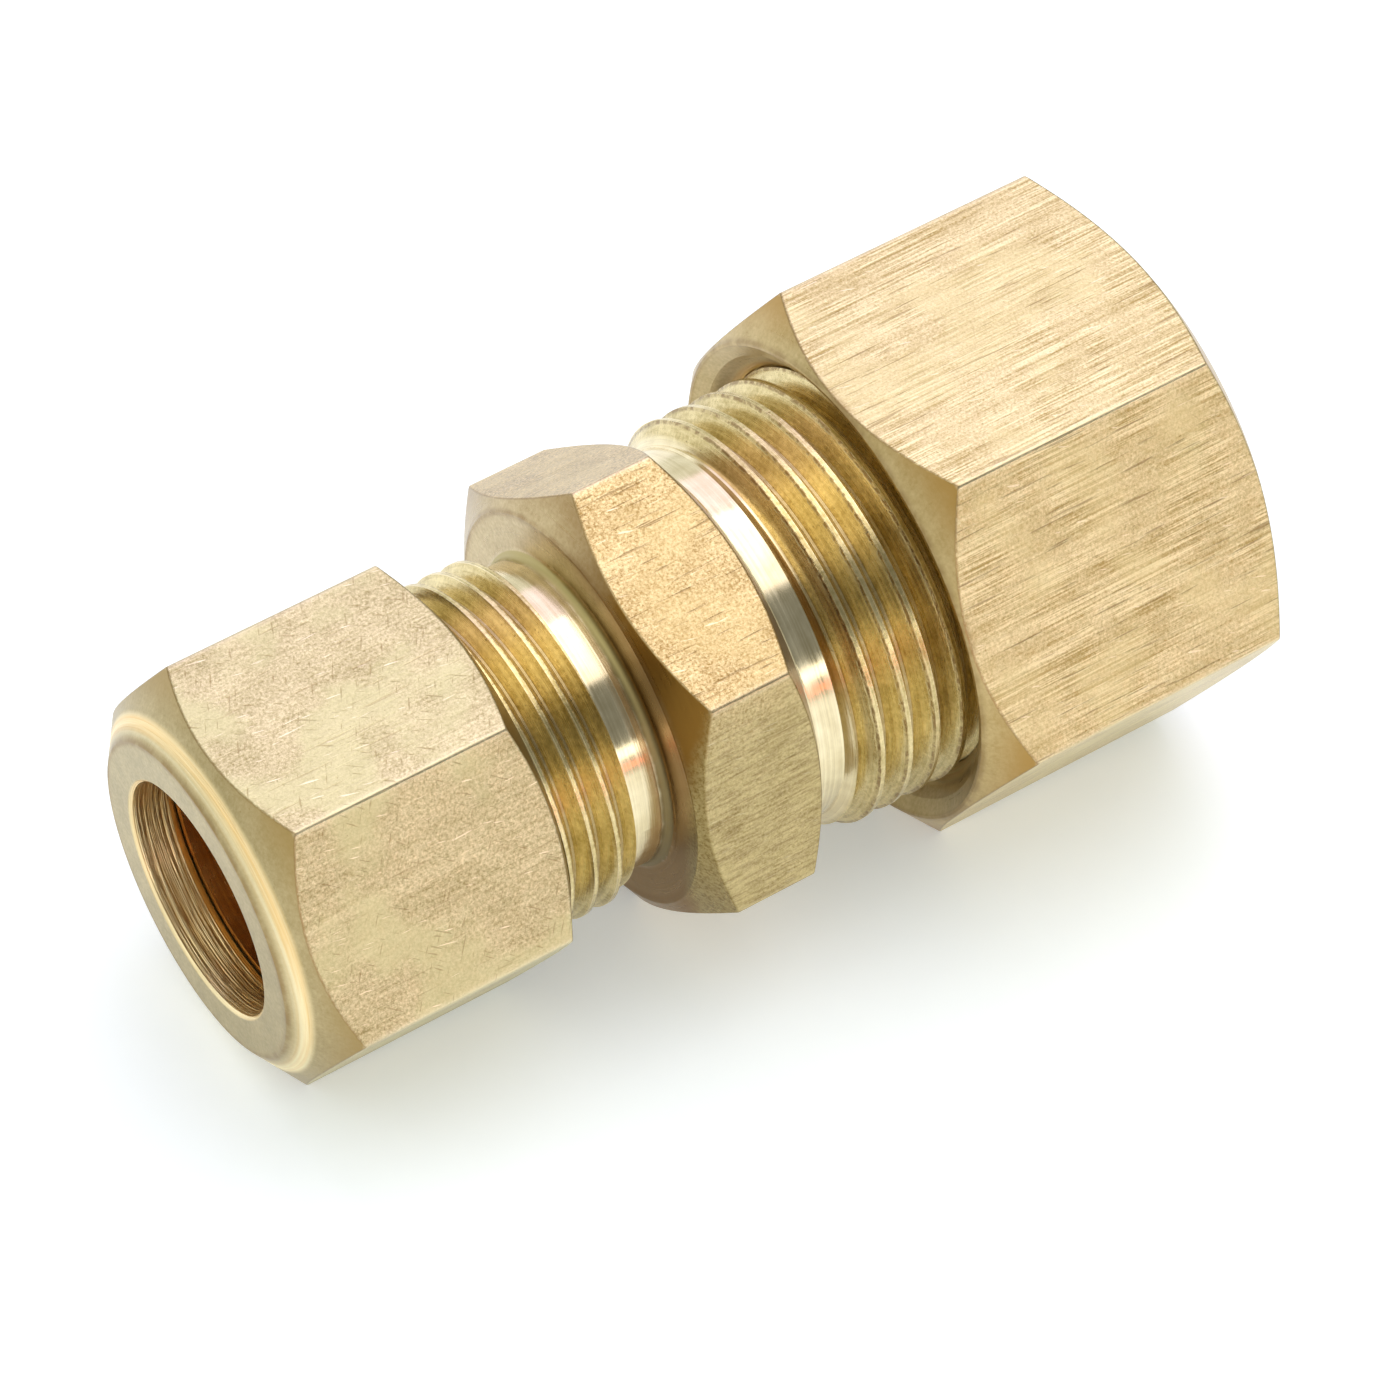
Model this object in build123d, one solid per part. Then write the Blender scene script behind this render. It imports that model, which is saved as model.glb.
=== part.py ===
from build123d import *
from dataclasses import dataclass
from math import ceil, cos, radians, sqrt, tan
import os

# Brass compression reducing union, in millimetres: a body with a hexagon and two threaded
# tube sockets, and on each socket a sleeve under a hexagonal nut.
# X runs along the tubes: the 3/8 in end points to -X and the 1/2 in end to +X. +Z is up.
# The origin is on the tube axis, half-way between the outer faces of the two nuts.

INCH = 25.4

# Body hexagon and water passage
BODY_ACROSS_FLATS = 11 / 16 * INCH
BODY_ROLL = 18.7                 # turn about +X from flats up and down, degrees
BODY_CORNER_HALF_WIDTH = 1.72    # where the turned chamfer meets the hexagon's corners
BODY_FACE_HALF_WIDTH = 2.8       # flat turned face beside each socket
BODY_FACE_RADIUS = 8.28
PASSAGE_RADIUS = 3.9

# Shared details
THREAD_HALF_ANGLE = radians(30)
THREAD_CREST = 1 / 6             # flat on the external crest, in pitches
THREAD_ROOT = 1 / 12             # flat in the external root, in pitches
THREAD_DEPTH = (1 - THREAD_CREST - THREAD_ROOT) / 2 / tan(THREAD_HALF_ANGLE)
THREAD_ENGAGEMENT = 0.5413       # basic height of the nut's thread, in pitches
THREAD_CLEARANCE = 0.08          # between nut and body thread, at crest, root and flanks
CUTTER_OVERRUN = 0.05            # how far a cutter stands clear of the surface it breaks
SOCKET_CLEARANCE = 0.08          # radial room for the tube in the body's socket
SLEEVE_CLEARANCE = 0.06          # radial room for the tube in the sleeve
NUT_HOLE_CLEARANCE = 0.11        # radial room for the tube in the nut's hole
SLEEVE_NOSE_WALL = 0.35          # sleeve wall at its two thin ends
SLEEVE_TAPER = radians(15)       # long taper towards the body's seat
SLEEVE_END_GAP = 0.1             # play between the sleeve and the nut's shoulder
SEAT_SLOPE = tan(radians(31))    # body's conical seat for the sleeve's nose
SHOULDER_SLOPE = 1.0             # nut's conical shoulder behind the sleeve, 45 degrees
NUT_RIM = 0.12                   # flat left between the nut's outer chamfer and its mouth
NUT_RELIEF_LENGTH = 1.5          # undercut between shoulder and thread, in pitches
NECK_STEP = 1.2                  # height of the neck's end cap, in fillet radii
HEX_CORNER_ROUND = 0.2
HEX_EDGE_ROUND = 0.1
LIP_CHAMFER = 0.12


@dataclass
class TubeEnd:
    """One end of the union. Each u is a distance outwards from the body hexagon's middle."""
    name: str
    facing: float                # turn about +Z that points the end outwards, degrees
    tube_diameter: float
    thread_diameter: float
    thread_pitch: float
    thread_phase: float          # where the crest crosses u = 0, degrees about the axis
    neck_radius: float           # turned relief between hexagon and thread
    neck_round: float            # fillet between the neck and the hexagon's face
    neck_end_u: float
    thread_rise: float           # length of the slope from the neck up to the thread
    body_end_u: float
    tube_stop_u: float
    seat_radius: float           # mouth of the conical seat
    sleeve_length: float
    sleeve_radius: float
    nut_across_flats: float
    nut_roll: float              # turn of the nut's hexagon about the outward axis, degrees
    nut_mouth_u: float
    nut_mouth_radius: float      # flat ring round the open end
    nut_corner_u: tuple          # where the two turned chamfers meet the hexagon's corners
    nut_face_u: float
    nut_face_radius: float       # flat ring round the tube hole
    nut_wall: float              # thickness of metal round the tube hole
    nut_dish: tuple              # depth and inner radius of the shallow cone in the mouth

    @property
    def tube_radius(self):
        return self.tube_diameter / 2

    @property
    def crest_radius(self):
        return self.thread_diameter / 2

    @property
    def root_radius(self):
        return self.crest_radius - THREAD_DEPTH * self.thread_pitch

    @property
    def nut_minor_radius(self):
        return self.crest_radius - THREAD_ENGAGEMENT * self.thread_pitch + THREAD_CLEARANCE

    @property
    def neck_middle_u(self):
        return (BODY_FACE_HALF_WIDTH + self.neck_round + self.neck_end_u) / 2

    @property
    def shoulder_u(self):
        return self.nut_face_u - self.nut_wall


SMALL_END = TubeEnd(
    name="small", facing=180, tube_diameter=3 / 8 * INCH,
    thread_diameter=9 / 16 * INCH, thread_pitch=INCH / 24, thread_phase=-83.1,
    neck_radius=6.42, neck_round=0.4, neck_end_u=4.65, thread_rise=0.05,
    body_end_u=11.0, tube_stop_u=4.0, seat_radius=6.0,
    sleeve_length=6.35, sleeve_radius=5.85,
    nut_across_flats=5 / 8 * INCH, nut_roll=-1.8,
    nut_mouth_u=8.04, nut_mouth_radius=7.6, nut_corner_u=(8.94, 17.96),
    nut_face_u=19.81, nut_face_radius=6.55, nut_wall=1.65, nut_dish=(0.2, 7.3))

LARGE_END = TubeEnd(
    name="large", facing=0, tube_diameter=1 / 2 * INCH,
    thread_diameter=11 / 16 * INCH, thread_pitch=INCH / 20, thread_phase=102.8,
    neck_radius=7.88, neck_round=0.25, neck_end_u=4.15, thread_rise=0.7,
    body_end_u=12.3, tube_stop_u=4.9, seat_radius=7.3,
    sleeve_length=7.1, sleeve_radius=7.6,
    nut_across_flats=13 / 16 * INCH, nut_roll=0,
    nut_mouth_u=8.87, nut_mouth_radius=10.2, nut_corner_u=(10.33, 21.8),
    nut_face_u=22.96, nut_face_radius=9.9, nut_wall=2.0, nut_dish=(0.38, 9.5))

CENTRE_X = (LARGE_END.nut_face_u - SMALL_END.nut_face_u) / 2


def turned(*outline):
    """Solid of revolution about the tube axis, from (u, radius) corners."""
    return revolve(Polygon(*outline, align=None), Axis.X)


def hexagonal_bar(across_flats, roll, faces, corners, radii):
    """Hexagonal bar along X with turned ends, each a flat ring and a conical chamfer."""
    outline = RegularPolygon(across_flats / 2, 6, major_radius=False)
    outline = fillet(outline.vertices(), HEX_CORNER_ROUND)
    section = Plane.YZ * Rot(0, 0, roll) * outline
    bar = Pos(faces[0], 0, 0) * extrude(section, faces[1] - faces[0])
    corner_radius = across_flats / sqrt(3)
    envelope = turned(
        (faces[0], 0), (faces[0], radii[0]), (corners[0], corner_radius),
        (corners[1], corner_radius), (faces[1], radii[1]), (faces[1], 0))
    blank = bar & envelope
    return fillet(blank.edges(), HEX_EDGE_ROUND)


def threaded_rod(end, first_u, last_u, crest_radius, crest_width, root_radius):
    """Right-hand threaded rod along X, fully formed from first_u to last_u.

    Every turn is four ruled helical strips: a flank, the crest, the other flank and the root.
    At each end a flat step and a helicoid down to the axis close the solid."""
    pitch = end.thread_pitch
    flank = (crest_radius - root_radius) * tan(THREAD_HALF_ANGLE)
    low = -crest_width / 2 - flank
    profile = [(low, root_radius), (-crest_width / 2, crest_radius),
               (crest_width / 2, crest_radius), (-low, root_radius), (low + pitch, root_radius)]

    def helix(height, radius):
        return (Pos(0, 0, height) * Helix(pitch, pitch, radius)).edges()[0]

    turns = ceil((last_u - first_u) / pitch) + 2
    faces = []
    for turn in range(turns):
        raised = [(height + turn * pitch, radius) for height, radius in profile]
        for start, stop in zip(raised, raised[1:]):
            faces.append(Face.make_surface_from_curves(helix(*start), helix(*stop)))
    for turn in (0, turns):
        bottom = low + turn * pitch
        axis = Edge.make_line((0, 0, bottom), (0, 0, bottom + pitch))
        faces.append(Face.make_surface_from_curves(helix(bottom, root_radius), axis))
        corners = [(radius, 0, height + turn * pitch) for height, radius in profile]
        corners += [(0, 0, bottom + pitch), (0, 0, bottom)]
        faces.append(Face(Wire.make_polygon(corners, close=True)))
    start_u = first_u - pitch
    start_turn = end.thread_phase + 360 * start_u / pitch
    rod = Plane.YZ.location * Solid(Shell(faces))
    return Pos(start_u, 0, 0) * Rot(start_turn, 0, 0) * rod


def body_thread(end):
    """Rod with the external thread, from inside the neck to the socket's end."""
    return threaded_rod(end, end.neck_middle_u, end.body_end_u, end.crest_radius,
                        THREAD_CREST * end.thread_pitch, end.root_radius)


def nut_thread(end):
    """Rod that leaves the internal thread: the body's thread grown by the clearance."""
    gap = THREAD_CLEARANCE / cos(THREAD_HALF_ANGLE) - THREAD_CLEARANCE * tan(THREAD_HALF_ANGLE)
    relief_start, relief_end, relief_radius = nut_relief(end)
    last_u = (relief_start + relief_end) / 2
    rod = threaded_rod(end, end.nut_mouth_u, last_u, end.crest_radius + THREAD_CLEARANCE,
                       THREAD_CREST * end.thread_pitch + 2 * gap, end.nut_minor_radius)
    before_u = end.nut_mouth_u - CUTTER_OVERRUN
    return rod & turned((before_u, 0), (before_u, relief_radius), (last_u, relief_radius),
                        (last_u, 0))


def nut_relief(end):
    """Where the undercut behind the nut's thread starts and ends, and its radius."""
    radius = end.crest_radius + THREAD_CLEARANCE + CUTTER_OVERRUN
    hole_radius = end.tube_radius + NUT_HOLE_CLEARANCE
    end_u = end.shoulder_u - (radius - hole_radius) / SHOULDER_SLOPE
    return end_u - NUT_RELIEF_LENGTH * end.thread_pitch, end_u, radius


def threaded_socket(end):
    """Neck and thread of one socket, solid, from the hexagon's middle to the socket's end."""
    face_u = BODY_FACE_HALF_WIDTH
    cap_radius = end.neck_radius + NECK_STEP * end.neck_round
    neck = Polygon(
        (0, 0), (0, cap_radius), (face_u, cap_radius), (face_u, end.neck_radius),
        (end.neck_middle_u, end.neck_radius), (end.neck_middle_u, 0), align=None)
    corner = neck.vertices().sort_by_distance((face_u, end.neck_radius, 0))[0]
    neck = revolve(fillet(corner, end.neck_round), Axis.X)
    beyond = end.crest_radius + CUTTER_OVERRUN
    bevel = beyond - end.root_radius
    envelope = turned(
        (end.neck_middle_u, 0), (end.neck_middle_u, end.neck_radius),
        (end.neck_end_u, end.neck_radius), (end.neck_end_u + end.thread_rise, beyond),
        (end.body_end_u - bevel, beyond), (end.body_end_u, beyond - bevel), (end.body_end_u, 0))
    return neck + (body_thread(end) & envelope)


def socket_inside(end):
    """Half of the water passage, the tube's socket and the sleeve's conical seat."""
    socket_radius = end.tube_radius + SOCKET_CLEARANCE
    seat_depth = (end.seat_radius - socket_radius) / SEAT_SLOPE
    beyond_u = end.body_end_u + CUTTER_OVERRUN
    beyond_radius = end.seat_radius + CUTTER_OVERRUN * SEAT_SLOPE
    return turned(
        (-CUTTER_OVERRUN, 0), (-CUTTER_OVERRUN, PASSAGE_RADIUS),
        (end.tube_stop_u, PASSAGE_RADIUS), (end.tube_stop_u, socket_radius),
        (end.body_end_u - seat_depth, socket_radius), (beyond_u, beyond_radius),
        (beyond_u, 0))


def union_body():
    """Hexagon with a threaded tube socket on each side and a passage from end to end."""
    faces = (-BODY_FACE_HALF_WIDTH, BODY_FACE_HALF_WIDTH)
    corners = (-BODY_CORNER_HALF_WIDTH, BODY_CORNER_HALF_WIDTH)
    body = hexagonal_bar(BODY_ACROSS_FLATS, BODY_ROLL, faces, corners,
                         (BODY_FACE_RADIUS, BODY_FACE_RADIUS))
    for end in (SMALL_END, LARGE_END):
        body += Rot(0, 0, end.facing) * threaded_socket(end)
    for end in (SMALL_END, LARGE_END):
        body -= Rot(0, 0, end.facing) * socket_inside(end)
    return body


def nut(end):
    """Hexagonal nut: tube hole, conical shoulder, undercut, thread and countersunk mouth."""
    blank = hexagonal_bar(
        end.nut_across_flats, end.nut_roll, (end.nut_mouth_u, end.nut_face_u),
        end.nut_corner_u, (end.nut_mouth_radius, end.nut_face_radius))
    hole = end.tube_radius + NUT_HOLE_CLEARANCE
    relief_start, relief_end, relief_radius = nut_relief(end)
    minor = end.nut_minor_radius
    before_u = end.nut_mouth_u - CUTTER_OVERRUN
    beyond_u = end.nut_face_u + CUTTER_OVERRUN
    lip = LIP_CHAMFER + CUTTER_OVERRUN
    dish_depth, dish_radius = end.nut_dish
    dish_u = end.nut_mouth_u + dish_depth
    sink_u = dish_u + dish_radius - minor
    countersink = turned(
        (before_u, 0), (before_u, end.nut_mouth_radius - NUT_RIM),
        (end.nut_mouth_u, end.nut_mouth_radius - NUT_RIM), (dish_u, dish_radius),
        (sink_u, minor), (sink_u, 0))
    tube_side = turned(
        (relief_start, 0), (relief_start, relief_radius), (relief_end, relief_radius),
        (end.shoulder_u, hole), (end.nut_face_u - LIP_CHAMFER, hole), (beyond_u, hole + lip),
        (beyond_u, 0))
    return blank - nut_thread(end) - countersink - tube_side


def sleeve(end):
    """Barrel-shaped compression sleeve: long taper to the body, short one to the nut."""
    bore = end.tube_radius + SLEEVE_CLEARANCE
    nose = bore + SLEEVE_NOSE_WALL
    rise = end.sleeve_radius - nose
    hole = end.tube_radius + NUT_HOLE_CLEARANCE
    outer_u = end.shoulder_u - (nose - hole) / SHOULDER_SLOPE - SLEEVE_END_GAP
    inner_u = outer_u - end.sleeve_length
    return turned(
        (inner_u, bore), (inner_u, nose), (inner_u + rise / tan(SLEEVE_TAPER), end.sleeve_radius),
        (outer_u - rise / SHOULDER_SLOPE, end.sleeve_radius), (outer_u, nose), (outer_u, bore))


def write(node, solid):
    """Save one piece, moved so that the origin is half-way between the nuts' outer faces."""
    export_step(Pos(-CENTRE_X, 0, 0) * solid, f"parts/{node}.step")


os.makedirs("parts", exist_ok=True)
write("union_body", union_body())
for tube_end in (SMALL_END, LARGE_END):
    outward = Rot(0, 0, tube_end.facing)
    write(f"{tube_end.name}_nut", outward * nut(tube_end))
    write(f"{tube_end.name}_sleeve", outward * sleeve(tube_end))
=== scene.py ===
import math
from collections import namedtuple

import bpy
from mathutils import Matrix, Vector

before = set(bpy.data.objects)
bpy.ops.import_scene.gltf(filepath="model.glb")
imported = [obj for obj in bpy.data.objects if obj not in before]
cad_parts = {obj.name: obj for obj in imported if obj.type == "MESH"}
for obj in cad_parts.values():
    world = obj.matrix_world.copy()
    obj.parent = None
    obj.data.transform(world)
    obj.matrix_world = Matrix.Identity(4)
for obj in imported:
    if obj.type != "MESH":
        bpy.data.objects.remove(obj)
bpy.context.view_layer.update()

# ---------------------------------------------------------------- sizes, in millimetres
INCH = 25.4
MM = 0.001
BODY_CENTRE_X = -1.575       # middle of the body's hexagon in the row frame

Bar = namedtuple("Bar", "across_flats roll ends end_radii end_corners")
# roll: turn of the hexagon about +X from flats up and down, degrees
# ends, end_corners: x of the turned end faces and of the chamfers' outermost points
BODY_BAR = Bar(11 / 16 * INCH, 18.7, (-4.375, 1.225), (8.28, 8.28), (-3.295, 0.145))
SMALL_BAR = Bar(5 / 8 * INCH, 1.8, (-21.385, -9.615), (6.55, 7.6), (-19.535, -10.515))
LARGE_BAR = Bar(13 / 16 * INCH, 0.0, (7.295, 21.385), (10.2, 9.9), (8.755, 20.225))

Thread = namedtuple("Thread", "facing pitch phase crest start")
# facing: -1 or +1 along X; phase: where the crest crosses the middle of the hexagon, degrees
# crest: radius of the crests; start: from the middle of the hexagon to the first turn
SMALL_THREAD = Thread(-1, INCH / 24, -83.1, 7.144, 4.65)
LARGE_THREAD = Thread(1, INCH / 20, 102.8, 8.731, 4.45)
SMALL_HOLE_RADIUS = 4.87
LARGE_HOLE_RADIUS = 6.46
DARK_LINE = 0.405            # places across one turn of a thread, in pitches from the root:
CREST_MIDDLE = 0.5           # a line of dirt, the middle of the crest and a painted highlight on its edge
BRIGHT_LINE = 0.585
UNROLL_RADIUS = 9.0          # radius at which hatching is laid out round the axis
NEAR_SIDE = -7.2             # y beyond which the hexagon's flat faces -Y
NECK_FACE = 2.8              # half-width of the body's hexagon between its turned faces
PAIRS_OF_FLATS = 3
CHAMFER_RUN = 1.6            # rough distance down a chamfer for each unit below the flats
CORNER_RUN = 2.0             # distance from a flat's corner for each unit the radius drops
MIDDLE = 0.5                 # mean of a noise, and the tone midway between two colours

# ---------------------------------------------------------------- view and light
CAMERA_TARGET = (0.00019, -0.00151, -0.00096)
CAMERA_AZIMUTH = -123.59
CAMERA_ELEVATION = 50.18
CAMERA_ROLL = 0.28
CAMERA_DISTANCE = 0.2394
CAMERA_LENS = 159.57
SENSOR_WIDTH = 36.0
CLIP_START = 0.005
CLIP_END = 20.0

# The fitting rests on the near edge of the large nut and the far edge of the small nut.
FLOOR_CONTACTS = ((8.755, -10.319), (-19.535, -8.09))
FLOOR_SIZE = 3.0
FLOOR_GLOW = 0.27            # the sheet is a little lit from below
FIBRES_PER_METRE = 900.0

# Brightness of the tent and of its dim part, in front and above; angles in degrees
TENT_BRIGHTNESS = 0.90
DIM_BRIGHTNESS = 0.25
DIM_AZIMUTH = -62
DIM_ELEVATION = 42
DIM_OUTER = 52
DIM_INNER = 14
BACKDROP_BRIGHTNESS = 1.0    # what the camera sees behind the sheet

Light = namedtuple("Light", "name azimuth elevation distance width height brightness colour")
# azimuth, elevation: where the light stands, degrees; distance, width, height: metres
# brightness: what a mirror would show of it, where 1 is white
LIGHTS = (
    Light("key", 5, 68, 0.50, 0.45, 0.35, 1.50, (1.0, 0.95, 1.0)),
    Light("sky", 72, 44, 0.50, 0.46, 0.36, 0.70, (0.68, 0.47, 1.0)),
    Light("fill", 185, 58, 0.80, 0.60, 0.60, 0.60, (0.95, 1.0, 1.0)),
    Light("front_strip", -90, 14, 0.50, 0.80, 0.07, 2.20, (1.0, 1.0, 1.0)),
    Light("warm_line", -95, 4, 0.50, 1.00, 0.022, 2.60, (1.0, 0.12, 0.01)))


# ---------------------------------------------------------------- material graph
class Graph:
    """Node graph of one material, with short names for the nodes it is made of."""

    def __init__(self, name):
        self.material = bpy.data.materials.new(name)
        self.material.use_nodes = True
        self.tree = self.material.node_tree
        self.shader = self.tree.nodes["Principled BSDF"]

    def feed(self, socket, value):
        if isinstance(value, bpy.types.NodeSocket):
            self.tree.links.new(value, socket)
        else:
            socket.default_value = value

    def add(self, kind, inputs=None, **settings):
        node = self.tree.nodes.new(kind)
        for key, value in settings.items():
            setattr(node, key, value)
        for socket, value in (inputs or {}).items():
            self.feed(node.inputs[socket], value)
        return node

    def math(self, operation, *values):
        node = self.add("ShaderNodeMath", operation=operation)
        for socket, value in zip(node.inputs, values):
            self.feed(socket, value)
        return node.outputs[0]

    def total(self, *values):
        result = values[0]
        for value in values[1:]:
            result = self.math("ADD", result, value)
        return result

    def product(self, *values):
        result = values[0]
        for value in values[1:]:
            result = self.math("MULTIPLY", result, value)
        return result

    def step(self, value, low, high, bottom=0.0, top=1.0):
        """Smooth change from bottom to top as value goes from low to high."""
        return self.add(
            "ShaderNodeMapRange", {0: value, 1: low, 2: high, 3: bottom, 4: top},
            interpolation_type="SMOOTHSTEP").outputs[0]

    def fall(self, value, low, high, top=1.0):
        """Smooth fall from top to 0 as value goes from low to high."""
        return self.step(value, low, high, bottom=top, top=0.0)

    def gap(self, value, other):
        """How far apart two numbers are."""
        return self.math("ABSOLUTE", self.math("SUBTRACT", value, other))

    def vector(self, x, y, z):
        return self.add("ShaderNodeCombineXYZ", {0: x, 1: y, 2: z}).outputs[0]

    def noise(self, vector, scale=1.0, detail=2.0, roughness=0.5):
        return self.add(
            "ShaderNodeTexNoise",
            {"Vector": vector, "Scale": scale, "Detail": detail,
             "Roughness": roughness}).outputs[0]

    def cells(self, vector, scale):
        """Distance to the nearest of scattered points, and random values for that point."""
        node = self.add("ShaderNodeTexVoronoi", {"Vector": vector, "Scale": scale})
        return node.outputs["Distance"], node.outputs["Color"]

    def mix(self, factor, a, b):
        node = self.add("ShaderNodeMix", data_type="RGBA")
        self.feed(node.inputs[0], factor)
        self.feed(node.inputs[6], a)
        self.feed(node.inputs[7], b)
        return node.outputs[2]

    def blend(self, factor, a, b):
        node = self.add("ShaderNodeMix", data_type="FLOAT")
        self.feed(node.inputs[0], factor)
        self.feed(node.inputs[2], a)
        self.feed(node.inputs[3], b)
        return node.outputs[0]


def rgb(red, green, blue):
    """Opaque colour."""
    return (red, green, blue, 1.0)


# Reflectances of the metal; some also stand for painted highlights, shade and light, as noted
# PALE also paints highlights: glints on the flats, crest edges of the threads, the hexagon's
# corners
PALE = rgb(1.0, 0.86, 0.62)
# BROWN also paints shade, in the thread roots and round the end faces
BROWN = rgb(0.26, 0.16, 0.06)
THREAD_DARK = rgb(0.40, 0.30, 0.10)
THREAD_LIGHT = rgb(0.92, 0.77, 0.42)
NECK_DARK = rgb(0.62, 0.50, 0.27)
NECK_LIGHT = rgb(0.98, 0.86, 0.58)
# OLIVE and DARK_OLIVE paint shade in the fillet of the small end
OLIVE = rgb(0.42, 0.34, 0.12)
DARK_OLIVE = rgb(0.13, 0.085, 0.02)
# KHAKI_DARK and KHAKI_LIGHT paint shade on the body's flat that faces -Y
KHAKI_DARK = rgb(0.20, 0.15, 0.05)
KHAKI_LIGHT = rgb(0.48, 0.40, 0.18)
# BORE_DARK and BORE_LIGHT are lighter than brass: painted light inside the nuts' holes
BORE_DARK = rgb(0.76, 0.48, 0.16)
BORE_LIGHT = rgb(1.00, 0.88, 0.55)
SLEEVE_DARK = rgb(0.56, 0.30, 0.09)
SLEEVE_LIGHT = rgb(0.92, 0.60, 0.26)

# Colours of the sheet and of the tent
PAPER_DARK = rgb(0.88, 0.905, 0.93)
PAPER_LIGHT = rgb(0.91, 0.935, 0.95)
PAPER_GLOW = rgb(0.92, 1.0, 1.0)
TENT_TINT = rgb(0.96, 1.0, 0.98)

Look = namedtuple("Look", "dark light tinge patch streak band grain mottle pits scored crossed "
                          "glint roughness relief turned turned_light turned_roughness stain "
                          "tarnish burnt near")
# dark, light: ends of the flats' colour, between which streak, band, grain and mottle move it
# tinge, patch: colour of broad patches on the flats, and the most of it there is
# pits, scored, crossed, glint: strength of the flats' pits, of two kinds of dark scratches, and
# of painted glints along scratches
# turned, turned_light: ends of the colour of the chamfers and end faces
# stain: colour of their tarnish, and of the painted reflection and painted shade on them
# tarnish, burnt: tarnish all over the chamfers, and painted reflection by the corners
# near: painted shade towards -Y
LARGE_LOOK = Look(
    dark=rgb(0.38, 0.28, 0.10), light=rgb(0.87, 0.74, 0.44), tinge=rgb(0.72, 0.62, 0.32),
    patch=0.4, streak=3.8, band=0.5, grain=2.1, mottle=0.6, pits=0.65, scored=0.60,
    crossed=0.15, glint=0.55, roughness=0.36, relief=1.0, turned=rgb(0.36, 0.27, 0.10),
    turned_light=rgb(0.72, 0.58, 0.32), turned_roughness=0.32, stain=rgb(0.42, 0.25, 0.07),
    tarnish=0.15, burnt=0.75, near=0.10)
SMALL_LOOK = Look(
    dark=rgb(0.31, 0.255, 0.11), light=rgb(0.79, 0.68, 0.42), tinge=rgb(0.60, 0.56, 0.30),
    patch=0.6, streak=1.2, band=0.3, grain=2.6, mottle=0.6, pits=0.70, scored=0.30,
    crossed=0.45, glint=0.75, roughness=0.38, relief=0.9, turned=rgb(0.28, 0.22, 0.09),
    turned_light=rgb(0.60, 0.50, 0.29), turned_roughness=0.34, stain=rgb(0.36, 0.24, 0.08),
    tarnish=0.15, burnt=0.65, near=0.10)
BODY_LOOK = Look(
    dark=rgb(0.29, 0.18, 0.06), light=rgb(0.80, 0.62, 0.34), tinge=rgb(0.62, 0.47, 0.22),
    patch=0.3, streak=1.0, band=0.3, grain=3.6, mottle=0.8, pits=0.85, scored=0.60,
    crossed=0.15, glint=0.60, roughness=0.34, relief=1.0, turned=rgb(0.36, 0.26, 0.11),
    turned_light=rgb(0.72, 0.59, 0.35), turned_roughness=0.30, stain=rgb(0.24, 0.125, 0.024),
    tarnish=0.15, burnt=0.40, near=0.90)


class Place:
    """Where a point of the surface is, in millimetres, for every brass material."""

    def __init__(self, graph):
        g = graph
        found = g.add("ShaderNodeTexCoord").outputs["Object"]
        self.point = g.add("ShaderNodeVectorMath", {0: found, 3: 1 / MM},
                           operation="SCALE").outputs[0]
        parts = g.add("ShaderNodeSeparateXYZ", {0: self.point})
        self.x, self.y, self.z = parts.outputs
        square = g.total(g.product(self.y, self.y), g.product(self.z, self.z))
        self.radius = g.math("SQRT", square)


def hexagon(g, place, bar):
    """Mask of a bar's flats, how far a point is from their rims, how far it is from the
    corners, and mask of the chamfers."""
    reach = None
    for side in range(PAIRS_OF_FLATS):
        turn = math.radians(90 + bar.roll + 180 / PAIRS_OF_FLATS * side)
        along = g.total(g.product(place.y, math.cos(turn)), g.product(place.z, math.sin(turn)))
        along = g.math("ABSOLUTE", along)
        reach = along if reach is None else g.math("MAXIMUM", reach, along)
    below = g.math("SUBTRACT", bar.across_flats / 2, reach)
    flat = g.fall(below, low=0.006, high=0.035)
    corner_radius = bar.across_flats / math.sqrt(3)
    corner = g.product(g.math("SUBTRACT", corner_radius, place.radius), CORNER_RUN)
    rim = None
    for face, outermost, radius in zip(bar.ends, bar.end_corners, bar.end_radii):
        run = g.gap(place.x, face)
        slope = (corner_radius - radius) / abs(outermost - face)
        cone = g.math("SUBTRACT", g.total(g.product(run, slope), radius), place.radius)
        rim = cone if rim is None else g.math("MINIMUM", rim, cone)
    off_chamfer = g.step(rim, low=0.10, high=0.40)
    rim = g.blend(flat, g.total(g.product(below, CHAMFER_RUN), off_chamfer), rim)
    chamfer = g.math("SUBTRACT", 1.0, g.math("MAXIMUM", flat, off_chamfer))
    return flat, g.math("MAXIMUM", rim, 0.0), g.math("MAXIMUM", corner, 0.0), chamfer


def stretched(g, place, across, along):
    """Coordinates for a texture, with scales of their own across the bar and along it."""
    return g.add("ShaderNodeVectorMath", {0: place.point, 1: (along, across, across)},
                 operation="MULTIPLY").outputs[0]


def rings(g, place, fineness, detail=3.0):
    """Turning marks: noise that hardly changes round the axis."""
    slow = 0.10
    spun = g.vector(g.product(place.x, fineness),
                    g.total(g.product(place.radius, fineness), g.product(place.y, slow)),
                    g.product(place.z, slow))
    return g.noise(spun, detail=detail, roughness=0.6)


def centred(g, value, amount):
    """Noise turned into a swing about zero."""
    return g.product(g.math("SUBTRACT", value, MIDDLE), amount)


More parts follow.
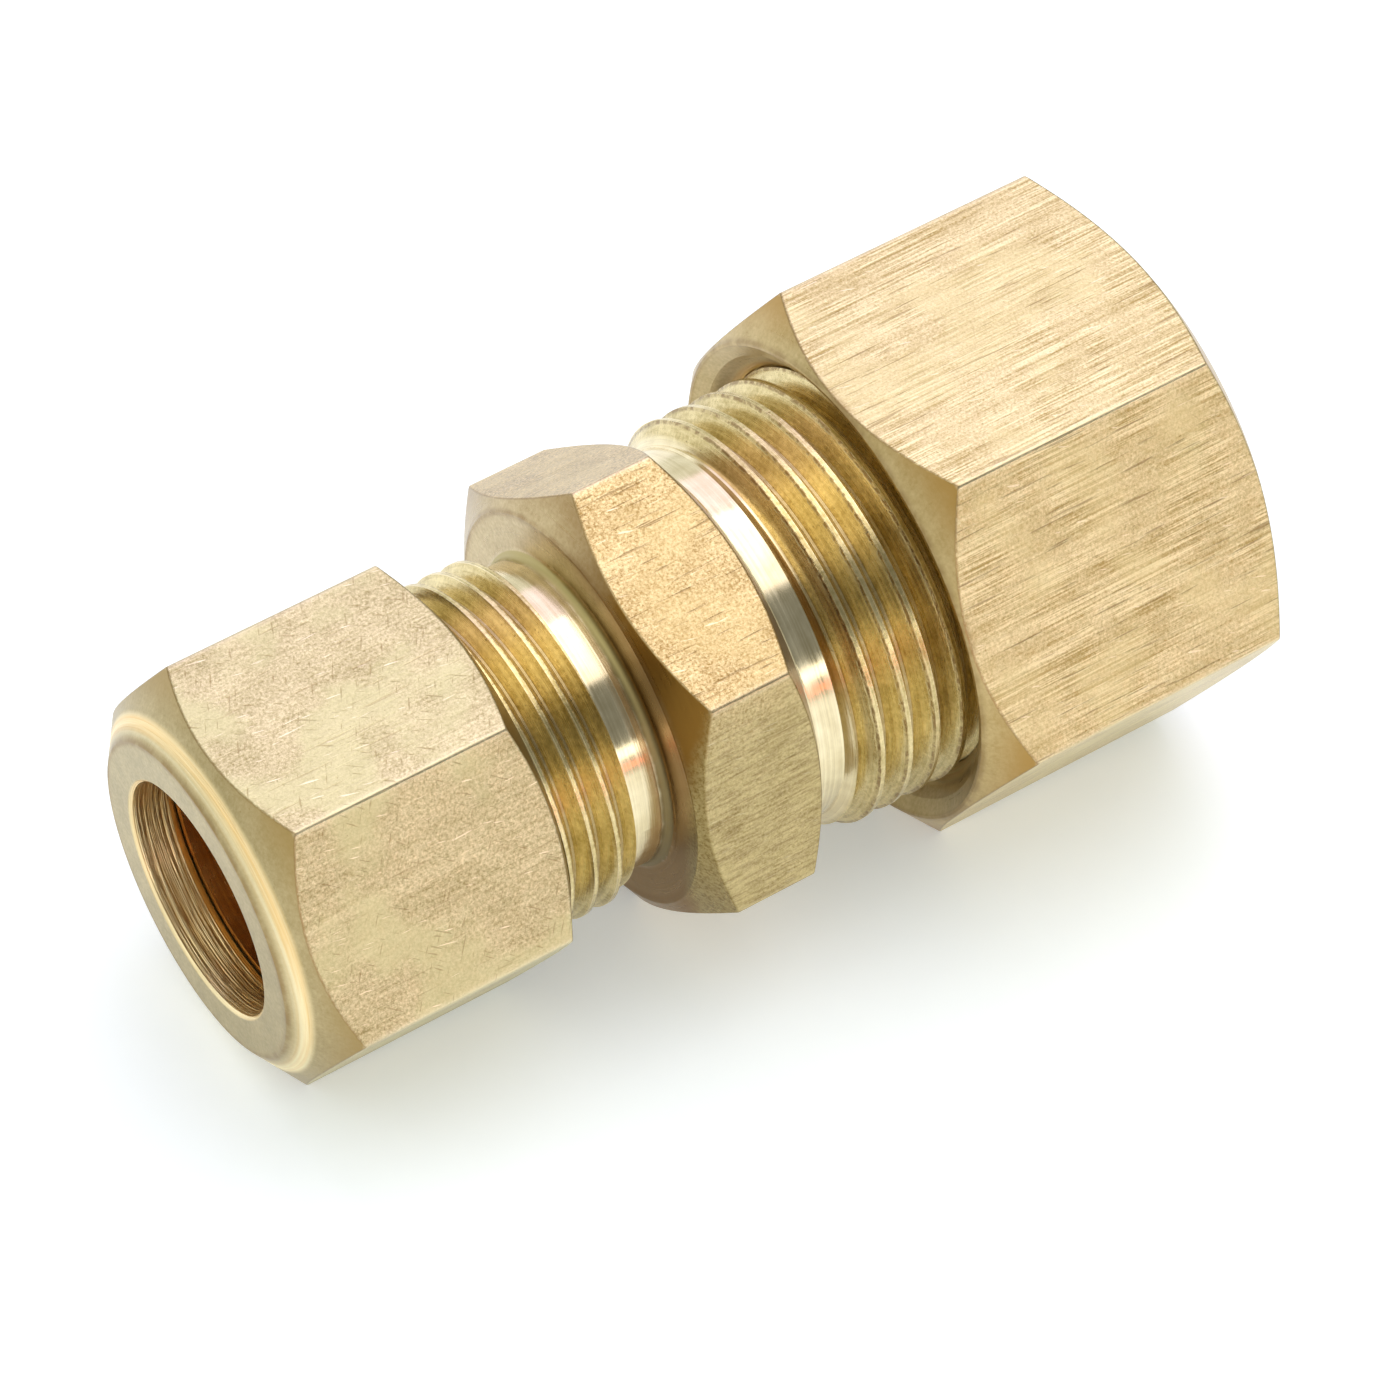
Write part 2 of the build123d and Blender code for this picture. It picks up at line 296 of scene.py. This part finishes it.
def finish_shader(g, surface):
    """Metal with the colour, the roughness and the height, in millimetres, of a surface."""
    colour, roughness, height = surface
    shader = g.shader
    shader.inputs["Metallic"].default_value = 1.0
    g.feed(shader.inputs["Base Color"], colour)
    g.feed(shader.inputs["Roughness"], roughness)
    normal = g.add("ShaderNodeBump", {"Strength": 1.0, "Distance": MM, "Height": height})
    g.feed(shader.inputs["Normal"], normal.outputs[0])
    return g.material


def specks(g, place, scale, share, size):
    """Scattered small pits: scale per millimetre, share of cells that have one."""
    nearest, chance = g.cells(place.point, scale)
    parts = g.add("ShaderNodeSeparateColor", {0: chance})
    chosen = g.step(parts.outputs[0], low=1.0 - share, high=1.02 - share)
    reach = g.total(g.product(parts.outputs[1], size), size * 0.5)
    return g.product(g.fall(nearest, low=0.0, high=reach), chosen)


def hatching(g, place, angle):
    """Fine short scratches at an angle to the axis, on the unrolled surface."""
    round_axis = g.product(g.math("ARCTAN2", place.z, place.y), UNROLL_RADIUS)
    lean = math.radians(angle)
    along = g.total(g.product(place.x, math.cos(lean)), g.product(round_axis, math.sin(lean)))
    across = g.total(g.product(round_axis, math.cos(lean)), g.product(place.x, -math.sin(lean)))
    slow, fine = 0.9, 9.0
    spun = g.vector(g.product(along, slow), g.product(across, fine), 0.0)
    return g.noise(spun, detail=1.0)


def flat_scratches(g, place, look):
    """Strength of the dark scratches on a flat, along it and at an angle."""
    scored = g.noise(stretched(g, place, across=8.0, along=0.40))
    crossed = g.math("MAXIMUM", hatching(g, place, angle=38), hatching(g, place, angle=-62))
    return g.math("MAXIMUM", g.step(scored, low=0.62, high=0.72, top=look.scored),
                  g.step(crossed, low=0.66, high=0.74, top=look.crossed))


def flat_pits(g, place, look):
    """Strength of the large and the small pits on a flat."""
    large = specks(g, place, scale=2.2, share=0.10, size=0.09)
    small = specks(g, place, scale=5.5, share=0.16, size=0.20)
    return g.total(g.product(large, look.pits), g.product(small, look.pits * 0.7))


def flat_glints(g, place, look):
    """Strength of the painted glints, pale lines along scratches, on a flat."""
    glint = g.math("MAXIMUM", g.noise(stretched(g, place, across=8.0, along=0.5), scale=1.3),
                   hatching(g, place, angle=12))
    return g.step(glint, low=0.70, high=0.78, top=look.glint)


def drawn_flat(g, place, look):
    """Colour, roughness and height of a drawn hexagon flat."""
    hair = g.noise(stretched(g, place, across=10.0, along=0.16), detail=3.0, roughness=0.75)
    band = g.noise(stretched(g, place, across=2.0, along=0.10))
    grain = g.noise(place.point, scale=9.0, detail=4.0, roughness=0.75)
    cloud = g.noise(place.point, scale=0.6, detail=4.0, roughness=0.6)
    patch = g.noise(place.point, scale=0.26)
    where = g.step(g.noise(place.point, scale=0.40), low=0.38, high=0.60, bottom=0.25)
    tone = g.total(
        MIDDLE, g.product(centred(g, hair, look.streak), where), centred(g, band, look.band),
        centred(g, grain, look.grain), centred(g, cloud, look.mottle))
    colour = g.mix(tone, look.dark, look.light)
    colour = g.mix(g.step(patch, low=0.46, high=0.60, top=look.patch), colour, look.tinge)
    scored = flat_scratches(g, place, look)
    pits = flat_pits(g, place, look)
    colour = g.mix(g.math("MAXIMUM", pits, scored), colour, BROWN)
    # painted glints: pale streaks along scratches that stand in for highlights
    colour = g.mix(flat_glints(g, place, look), colour, PALE)
    roughness = g.total(centred(g, grain, 0.30), centred(g, hair, 0.25), look.roughness)
    height = g.total(
        centred(g, hair, 0.010 * look.relief), centred(g, grain, 0.009 * look.relief),
        centred(g, cloud, 0.030 * look.relief), g.product(pits, -0.010),
        g.product(scored, -0.010))
    return colour, roughness, height


def turned_face(g, place, look):
    """Colour, roughness and height of a surface cut on a lathe."""
    marks = rings(g, place, fineness=9.0)
    cloud = g.noise(place.point, scale=0.8, detail=4.0, roughness=0.6)
    grain = g.noise(place.point, scale=6.0, detail=4.0, roughness=0.7)
    tone = g.total(
        MIDDLE, centred(g, marks, 0.40), centred(g, cloud, 0.9), centred(g, grain, 1.1))
    colour = g.mix(tone, look.turned, look.turned_light)
    pits = g.product(specks(g, place, scale=4.0, share=0.12, size=0.16), 0.55)
    colour = g.mix(pits, colour, BROWN)
    roughness = g.total(centred(g, cloud, 0.12), centred(g, marks, 0.20), look.turned_roughness)
    height = g.total(centred(g, marks, 0.0040), centred(g, grain, 0.004))
    return colour, roughness, height


def choose(g, mask, first, second):
    """Colour, roughness and height of second where mask is 1 and of first where it is 0."""
    return (g.mix(mask, first[0], second[0]), g.blend(mask, first[1], second[1]),
            g.blend(mask, first[2], second[2]))


def worn_and_highlit_edges(g, place, surface, rim, corner):
    """Rubbed metal with a painted highlight along the hexagon's corners, and a thin dark line
    round each flat's rim.
    """
    colour, roughness, height = surface
    uneven = g.noise(place.point, scale=3.5, detail=3.0, roughness=0.6)
    ragged = centred(g, uneven, 0.22)
    rubbed_and_highlit = g.product(g.fall(g.total(corner, ragged), low=0.02, high=0.30), 0.28)
    line = g.product(g.fall(g.total(rim, ragged), low=0.01, high=0.11),
                     g.step(uneven, low=0.36, high=0.56, bottom=0.45, top=0.85))
    # pale along the corners: rubbed wear, and a painted highlight there
    colour = g.mix(rubbed_and_highlit, colour, PALE)
    colour = g.mix(line, colour, BROWN)
    roughness = g.blend(rubbed_and_highlit, roughness, 0.30)
    return colour, roughness, height


def tarnished_and_shaded(g, place, surface, flat, corner, chamfer, look):
    """Browner turned surfaces: tarnish on the chamfers, painted reflection by the corners,
    painted shade towards -Y.
    """
    colour, roughness, height = surface
    uneven = centred(g, g.noise(place.point, scale=0.9, detail=3.0, roughness=0.6), 0.9)
    # painted reflection of the neighbouring brass: browner close to the hexagon's corners
    burnt = g.fall(g.total(corner, uneven), low=0.1, high=3.6)
    # painted shade: browner towards -Y
    near = g.fall(g.total(place.y, g.product(uneven, 4.0)), low=-4.5, high=2.5)
    on_chamfer = g.product(chamfer, g.total(look.tarnish, g.product(burnt, look.burnt)))
    off_flat = g.math("SUBTRACT", look.near, g.product(flat, look.near))
    amount = g.total(on_chamfer, g.product(near, off_flat))
    return g.mix(amount, colour, look.stain), roughness, height


def face_edges(g, place, surface, bar):
    """Soft uneven band of painted shade where each end face meets its chamfer."""
    colour, roughness, height = surface
    uneven = g.step(g.noise(place.point, scale=1.3, detail=3.0),
                    low=0.35, high=0.60, bottom=0.25, top=0.65)
    for face, radius in zip(bar.ends, bar.end_radii):
        off = g.gap(place.radius, radius)
        run = g.gap(place.x, face)
        # painted shade that dulls the ring where face and chamfer meet
        line = g.product(g.fall(off, low=0.03, high=0.24), g.fall(run, low=0.2, high=0.4))
        colour = g.mix(g.product(line, uneven), colour, BROWN)
    return colour, roughness, height


def hexagonal_surface(g, place, bar, look):
    """Colour, roughness and height of a hexagon's flats, chamfers and end faces."""
    flat, rim, corner, chamfer = hexagon(g, place, bar)
    turned = tarnished_and_shaded(g, place, turned_face(g, place, look), flat, corner, chamfer, look)
    surface = choose(g, flat, turned, drawn_flat(g, place, look))
    return face_edges(g, place, worn_and_highlit_edges(g, place, surface, rim, corner), bar)


def bored(g, place):
    """Colour, roughness and height of a bored hole with coarse tool marks, painted lighter than
    brass as light inside.
    """
    marks = rings(g, place, fineness=4.0, detail=4.0)
    tone = g.total(0.55, centred(g, marks, 2.4))
    colour = g.mix(tone, BORE_DARK, BORE_LIGHT)
    return colour, g.total(0.34, centred(g, marks, 0.2)), centred(g, marks, 0.090)


def nut_material(name, bar, look, hole_radius, thread):
    """Drawn flats, turned chamfers and faces, and a redder bored and threaded inside."""
    g = Graph(name)
    place = Place(g)
    surface = hexagonal_surface(g, place, bar, look)
    inner = bored(g, place)
    middle = sum(bar.ends) / 2
    half = (bar.ends[1] - bar.ends[0]) / 2
    from_middle = g.gap(place.x, middle)
    within = g.fall(from_middle, low=half - 0.5, high=half - 0.05)
    hollow = g.fall(place.radius, low=thread.crest + 0.15, high=thread.crest + 0.45)
    hole = g.fall(place.radius, low=hole_radius + 0.06, high=hole_radius + 0.16)
    inside = g.math("MAXIMUM", hole, g.product(within, hollow))
    return finish_shader(g, choose(g, inside, surface, inner))


def helix_place(g, place, thread):
    """Place across one turn of a thread: 0 and 1 in the root, a half at the crest's middle."""
    outward = g.product(g.math("SUBTRACT", place.x, BODY_CENTRE_X), float(thread.facing))
    sideways = g.product(place.y, float(thread.facing))
    turn = g.product(g.math("ARCTAN2", place.z, sideways), 1 / math.tau)
    turns = g.total(g.product(outward, 1 / thread.pitch), g.product(turn, -1.0),
                    thread.phase / 360 + CREST_MIDDLE)
    return outward, g.math("FRACT", turns)


def thread_lines(g, place, across, grain):
    """Strength of the broken dark line and of the painted highlight beside a thread's crest."""
    wavy = g.total(across, centred(g, grain, 0.05))
    dark = g.fall(g.gap(wavy, DARK_LINE), low=0.02, high=0.06)
    broken = g.step(g.noise(place.point, scale=2.6, detail=3.0, roughness=0.7),
                    low=0.42, high=0.58, bottom=0.25, top=0.85)
    return g.product(dark, broken), g.fall(g.gap(wavy, BRIGHT_LINE), low=0.0, high=0.020)


def thread_nicks(g, place):
    """Strength of the large and the small nicks in a thread."""
    large = specks(g, place, scale=2.0, share=0.14, size=0.12)
    small = specks(g, place, scale=5.0, share=0.16, size=0.18)
    return g.product(g.total(large, small), 0.65)


def threaded_surface(g, place, surface, thread):
    """Golden flanks with fine helical marks, a painted highlight on the crest edge, and a dark
    line beside it.
    """
    outward, across = helix_place(g, place, thread)
    here = g.step(outward, low=thread.start - 0.1, high=thread.start + 0.1)
    fine, slow = 11.0, 0.25
    spun = g.vector(g.product(across, fine), g.product(place.y, slow), g.product(place.z, slow))
    marks = g.noise(spun, detail=3.0, roughness=0.7)
    grain = g.noise(place.point, scale=5.0, detail=4.0, roughness=0.7)
    cloud = g.noise(place.point, scale=0.45, detail=3.0)
    tone = g.total(
        MIDDLE, centred(g, marks, 1.5), centred(g, grain, 1.3), centred(g, cloud, 1.0))
    colour = g.mix(tone, THREAD_DARK, THREAD_LIGHT)
    dark, lip = thread_lines(g, place, across, grain)
    colour = g.mix(dark, colour, BROWN)
    # painted highlight along one edge of each crest
    colour = g.mix(g.product(lip, 0.50), colour, PALE)
    # painted shade in the roots of the thread
    root = g.step(g.gap(across, CREST_MIDDLE), low=0.43, high=0.49)
    colour = g.mix(g.product(root, 0.65), colour, BROWN)
    nicks = thread_nicks(g, place)
    colour = g.mix(nicks, colour, BROWN)
    roughness = g.total(0.27, g.product(lip, -0.08), centred(g, marks, 0.25))
    height = g.total(centred(g, marks, 0.005), centred(g, grain, 0.006),
                     g.product(nicks, -0.015), g.product(dark, -0.010))
    return choose(g, here, surface, (colour, roughness, height))


def neck_surface(g, place):
    """Bright smooth turned relief, with painted olive shade in the fillet of the small end,
    darker towards -Y.
    """
    marks = rings(g, place, fineness=8.0, detail=4.0)
    cloud = g.noise(place.point, scale=1.4, detail=4.0)
    tone = g.total(0.55, centred(g, marks, 1.6), centred(g, cloud, 0.9))
    colour = g.mix(tone, NECK_DARK, NECK_LIGHT)
    roughness = g.total(0.16, centred(g, marks, 0.22), centred(g, cloud, 0.12))
    from_small_face = g.math("SUBTRACT", BODY_CENTRE_X - NECK_FACE, place.x)
    fillet = g.fall(g.total(from_small_face, centred(g, cloud, 0.25)), low=0.30, high=0.55)
    near = g.fall(place.y, low=NEAR_SIDE, high=2.0)
    olive = g.mix(near, OLIVE, DARK_OLIVE)
    fillet = g.product(fillet, g.step(from_small_face, low=-0.1, high=0.0))
    # painted shade in the fillet, darker towards -Y
    colour = g.mix(g.product(fillet, 0.9), colour, olive)
    roughness = g.blend(fillet, roughness, 0.42)
    return colour, roughness, centred(g, marks, 0.0045)


def shaded_side(g, place, surface):
    """Painted shade: the flat of the body that faces -Y is painted a duller khaki than the one
    above it.
    """
    colour, roughness, height = surface
    ragged = centred(g, g.noise(place.point, scale=2.0, detail=3.0), 0.5)
    side = g.fall(g.total(place.y, ragged), low=-8.1, high=NEAR_SIDE, top=0.62)
    shade = g.noise(stretched(g, place, across=7.0, along=0.9), detail=4.0, roughness=0.7)
    khaki = g.mix(g.step(shade, low=0.32, high=0.62), KHAKI_DARK, KHAKI_LIGHT)
    return g.mix(side, colour, khaki), roughness, height


def body_material(name):
    """Hexagon with drawn flats, bright necks, and a thread on each socket."""
    g = Graph(name)
    place = Place(g)
    shaft = neck_surface(g, place)
    for thread in (SMALL_THREAD, LARGE_THREAD):
        shaft = threaded_surface(g, place, shaft, thread)
    from_middle = g.gap(place.x, BODY_CENTRE_X)
    middle = g.fall(from_middle, low=NECK_FACE + 0.02, high=NECK_FACE + 0.04)
    hexagonal = shaded_side(g, place, hexagonal_surface(g, place, BODY_BAR, BODY_LOOK))
    return finish_shader(g, choose(g, middle, shaft, hexagonal))


def sleeve_material(name):
    """Brass turned all over, redder than the outside of the nuts."""
    g = Graph(name)
    place = Place(g)
    marks = rings(g, place, fineness=5.0)
    cloud = g.noise(place.point, scale=1.1, detail=4.0)
    tone = g.total(MIDDLE, centred(g, marks, 1.2), centred(g, cloud, 0.8))
    colour = g.mix(tone, SLEEVE_DARK, SLEEVE_LIGHT)
    roughness = g.total(0.24, centred(g, cloud, 0.15), centred(g, marks, 0.15))
    return finish_shader(g, (colour, roughness, centred(g, marks, 0.010)))


def paint(node, material):
    """Gives a piece its material, in every slot."""
    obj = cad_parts[node]
    for slot in obj.material_slots:
        slot.material = material


def make_materials():
    sleeve_brass = sleeve_material("sleeve_brass")
    paint("union_body", body_material("body_brass"))
    paint("small_nut", nut_material("small_nut_brass", SMALL_BAR, SMALL_LOOK,
                                    SMALL_HOLE_RADIUS, SMALL_THREAD))
    paint("large_nut", nut_material("large_nut_brass", LARGE_BAR, LARGE_LOOK,
                                    LARGE_HOLE_RADIUS, LARGE_THREAD))
    paint("small_sleeve", sleeve_brass)
    paint("large_sleeve", sleeve_brass)


# ---------------------------------------------------------------- stage
def direction(azimuth, elevation):
    """Unit vector towards an azimuth and an elevation in degrees."""
    a = math.radians(azimuth)
    e = math.radians(elevation)
    return Vector((math.cos(e) * math.cos(a), math.cos(e) * math.sin(a), math.sin(e)))


def link(obj):
    """Adds an object to the scene."""
    bpy.context.scene.collection.objects.link(obj)
    return obj


def make_floor():
    """Large pale sheet through the two lines that the fitting rests on."""
    (x0, z0), (x1, z1) = FLOOR_CONTACTS
    slope = (z1 - z0) / (x1 - x0)
    half = FLOOR_SIZE / 2
    corners = []
    for x, y in ((-half, -half), (half, -half), (half, half), (-half, half)):
        corners.append((x, y, z0 * MM + (x - x0 * MM) * slope))
    mesh = bpy.data.meshes.new("floor")
    mesh.from_pydata(corners, [], [(0, 1, 2, 3)])
    floor = link(bpy.data.objects.new("floor", mesh))
    g = Graph("paper")
    coord = g.add("ShaderNodeTexCoord").outputs["Object"]
    fibre = g.noise(coord, scale=FIBRES_PER_METRE, detail=3.0)
    g.feed(g.shader.inputs["Base Color"], g.mix(fibre, PAPER_DARK, PAPER_LIGHT))
    g.feed(g.shader.inputs["Roughness"], g.step(fibre, low=0.2, high=0.8, bottom=0.7, top=0.9))
    g.shader.inputs["Emission Color"].default_value = PAPER_GLOW
    g.shader.inputs["Emission Strength"].default_value = FLOOR_GLOW
    mesh.materials.append(g.material)


def area_light(light):
    """Rectangular soft light aimed at the fitting, seen in reflections but not by the camera."""
    data = bpy.data.lights.new(light.name, "AREA")
    data.shape = "RECTANGLE"
    data.size = light.width
    data.size_y = light.height
    data.energy = light.brightness * math.pi * light.width * light.height
    data.color = light.colour
    lamp = link(bpy.data.objects.new(light.name, data))
    towards = direction(light.azimuth, light.elevation)
    lamp.location = towards * light.distance
    lamp.rotation_euler = towards.to_track_quat("Z", "Y").to_euler()
    lamp.visible_camera = False


def make_world():
    """Bright tent with one dim part, and white where the camera sees it directly."""
    world = bpy.data.worlds.new("tent")
    bpy.context.scene.world = world
    world.use_nodes = True
    tree = world.node_tree
    background = tree.nodes["Background"]
    coord = tree.nodes.new("ShaderNodeTexCoord")
    towards = tree.nodes.new("ShaderNodeVectorMath")
    towards.operation = "DOT_PRODUCT"
    towards.inputs[1].default_value = direction(DIM_AZIMUTH, DIM_ELEVATION)
    tree.links.new(coord.outputs["Generated"], towards.inputs[0])
    ramp = tree.nodes.new("ShaderNodeMapRange")
    ramp.interpolation_type = "SMOOTHSTEP"
    ramp.inputs[1].default_value = math.cos(math.radians(DIM_OUTER))
    ramp.inputs[2].default_value = math.cos(math.radians(DIM_INNER))
    ramp.inputs[3].default_value = TENT_BRIGHTNESS
    ramp.inputs[4].default_value = DIM_BRIGHTNESS
    tree.links.new(towards.outputs["Value"], ramp.inputs[0])
    path = tree.nodes.new("ShaderNodeLightPath")
    seen = tree.nodes.new("ShaderNodeMix")
    seen.data_type = "FLOAT"
    tree.links.new(path.outputs["Is Camera Ray"], seen.inputs[0])
    tree.links.new(ramp.outputs[0], seen.inputs[2])
    seen.inputs[3].default_value = BACKDROP_BRIGHTNESS
    tree.links.new(seen.outputs[0], background.inputs["Strength"])
    background.inputs["Color"].default_value = TENT_TINT


def make_camera():
    data = bpy.data.cameras.new("camera")
    data.lens = CAMERA_LENS
    data.sensor_width = SENSOR_WIDTH
    data.clip_start = CLIP_START
    data.clip_end = CLIP_END
    camera = link(bpy.data.objects.new("camera", data))
    back = direction(CAMERA_AZIMUTH, CAMERA_ELEVATION)
    level = back.to_track_quat("Z", "Y").to_matrix()
    roll = Matrix.Rotation(math.radians(CAMERA_ROLL), 3, "Z")
    turn = (level @ roll).to_4x4()
    place = Matrix.Translation(Vector(CAMERA_TARGET) + back * CAMERA_DISTANCE)
    camera.matrix_world = place @ turn
    bpy.context.scene.camera = camera


make_materials()
make_floor()
make_world()
for light in LIGHTS:
    area_light(light)
make_camera()
bpy.context.scene.view_settings.view_transform = "Standard"
